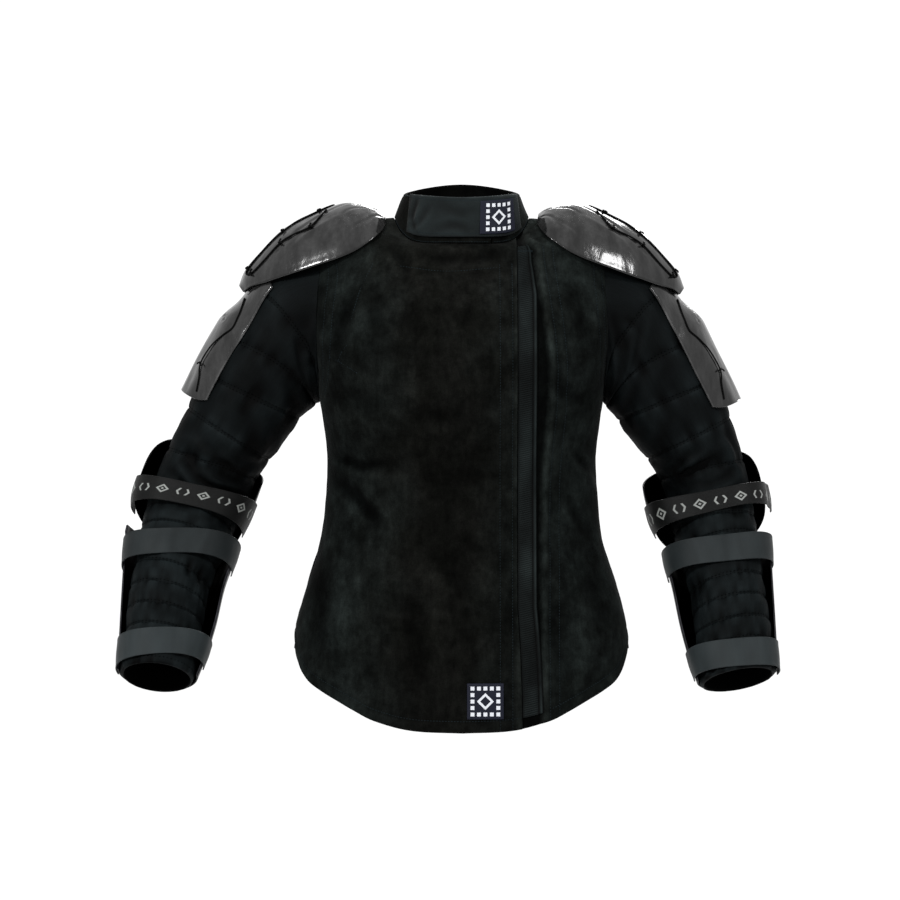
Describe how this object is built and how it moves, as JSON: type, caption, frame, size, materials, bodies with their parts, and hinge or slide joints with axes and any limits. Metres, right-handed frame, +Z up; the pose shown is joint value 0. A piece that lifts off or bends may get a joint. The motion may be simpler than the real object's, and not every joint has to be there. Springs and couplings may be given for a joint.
{
  "type": "fencing jacket",
  "caption": "Black worn fencing jacket: suede body, off-centre closing, quilted bent sleeves, laced shoulder and arm plates, elbow cups and forearm guards on elastics.",
  "frame": {"origin": "centre of the neck opening at the height of the neck's sides, where a wearer holds the jacket", "axes": "+X to the wearer's left, -Y to the front, +Z up"},
  "size_m": [0.8102, 0.2748, 0.6779],
  "materials": {
    "suede": "black nappa-backed suede, brushed nap",
    "quilted_cotton": "black cotton twill, quilted",
    "flap_cloth": "dark slate woven loop cloth",
    "webbing": "black woven webbing",
    "elastic": "ribbed elastic",
    "elbow_elastic": "flat elastic with off-white motifs",
    "label": "woven label",
    "shell_plastic": "polished",
    "guard_plastic": "satin",
    "cord": "waxed braided cord"
  },
  "bodies": {
    "root": {"arm_lace_left": "cord", "arm_lace_right": "cord", "arm_plate_left": "shell_plastic", "arm_plate_right": "shell_plastic", "back": "suede", "collar": "suede", "collar_flap": "flap_cloth", "collar_label": "label", "elbow_cup_left": "guard_plastic", "elbow_cup_right": "guard_plastic", "elbow_strap_left": "elbow_elastic", "elbow_strap_right": "elbow_elastic", "forearm_guard_left": "guard_plastic", "forearm_guard_right": "guard_plastic", "forearm_strap_lower_left": "elastic", "forearm_strap_lower_right": "elastic", "forearm_strap_upper_left": "elastic", "forearm_strap_upper_right": "elastic", "front_left": "suede", "front_right": "suede", "hem_label": "label", "placket_tape": "webbing", "shoulder_lace_left": "cord", "shoulder_lace_right": "cord", "shoulder_plate_left": "shell_plastic", "shoulder_plate_right": "shell_plastic", "sleeve_left": "quilted_cotton", "sleeve_right": "quilted_cotton"}
  },
  "joints": []
}
